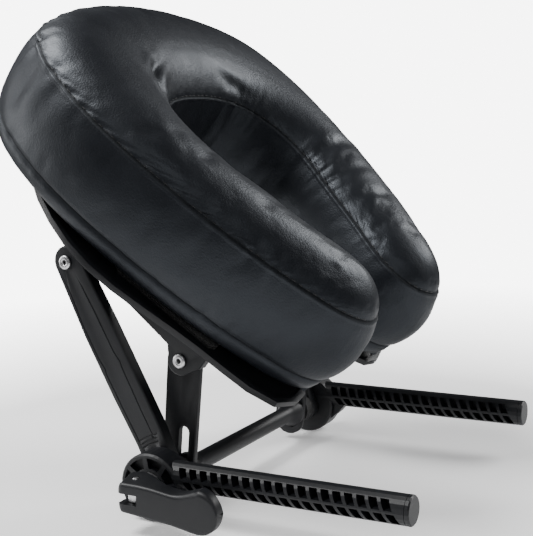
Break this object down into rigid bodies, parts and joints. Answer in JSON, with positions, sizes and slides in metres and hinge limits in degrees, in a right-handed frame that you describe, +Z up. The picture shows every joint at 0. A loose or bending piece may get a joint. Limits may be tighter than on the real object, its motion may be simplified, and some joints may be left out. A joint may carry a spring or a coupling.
{
  "type": "massage table face cradle",
  "caption": "Horseshoe face cushion on an adjustable tilting platform, with side arms, a cam clamp lever and two posts that plug into a massage table.",
  "frame": {"origin": "midway between the two post axes, in the plane where the posts leave their hubs, which is where the table's edge stops them", "axes": "+X along the posts into the table, +Y across from the lever side to the other, +Z up; the cushion's crown points to -X and up"},
  "size_m": [0.3081, 0.2789, 0.3323],
  "materials": {
    "leather": "satin black upholstery leather",
    "plastic": "moulded black, fine grain",
    "steel": "bright plated",
    "hook_tape": "black hook tape",
    "loop_tape": "black loop tape",
    "friction_ring": "matte dark"
  },
  "bodies": {
    "base": {"post_near": "plastic", "post_far": "plastic", "post_cap_near": "plastic", "post_cap_far": "plastic", "hub_washer_near": "steel", "hub_washer_far": "steel", "friction_ring_near": "friction_ring", "friction_ring_far": "friction_ring", "cross_bar": "plastic"},
    "draw_rod": {"clamp_rod": "steel", "clamp_nut": "steel", "lever_pin": "steel"},
    "lever": {"cam_lever": "plastic"},
    "long_arms": {"long_arm_near": "plastic", "long_arm_far": "plastic"},
    "platform_frame": {"platform": "plastic", "bracket_near": "plastic", "bracket_far": "plastic", "bracket_screw_1": "steel", "bracket_screw_2": "steel", "bracket_screw_3": "steel", "bracket_screw_4": "steel", "hook_strip_crown": "hook_tape", "hook_strip_near": "hook_tape", "hook_strip_far": "hook_tape", "arm_rivet_near": "steel", "arm_rivet_far": "steel", "link_rivet_near": "steel", "link_rivet_far": "steel"},
    "slotted_arms": {"slotted_arm_near": "plastic", "slotted_arm_far": "plastic"},
    "face_cushion": {"cushion": "leather", "loop_strip_crown": "loop_tape", "loop_strip_near": "loop_tape", "loop_strip_far": "loop_tape"}
  },
  "joints": [
    {"name": "rod_draw", "type": "slide", "parent": "base", "child": "draw_rod", "axis": [0, 1, 0], "range_m": [0, 0.000864]},
    {"name": "lever_swing", "type": "hinge", "parent": "draw_rod", "child": "lever", "pos_m": [-0.0272, -0.13045, -0.0083], "axis": [0, 0, -1], "range_deg": [0, 90]},
    {"name": "arm_lift", "type": "hinge", "parent": "base", "child": "long_arms", "pos_m": [-0.0272, 0, -0.0083], "axis": [0, 1, 0], "range_deg": [-35, 10]},
    {"name": "cradle_tilt", "type": "hinge", "parent": "long_arms", "child": "platform_frame", "pos_m": [-0.098, 0, 0.129], "axis": [0, 1, 0], "range_deg": [-6, 6]},
    {"name": "slotted_arm_swing", "type": "hinge", "parent": "platform_frame", "child": "slotted_arms", "pos_m": [-0.0185, 0, 0.0678], "axis": [0, 1, 0], "range_deg": [-11, 11]},
    {"name": "cushion_lift", "type": "slide", "parent": "platform_frame", "child": "face_cushion", "axis": [0.6704, 0, 0.742], "range_m": [0, 0.12]}
  ],
  "couplings": [
    {"joint": "lever_swing", "follows": "rod_draw", "rad_per_m": 1818},
    {"joint": "slotted_arm_swing", "follows": "cradle_tilt", "ratio": -1.6832}
  ]
}
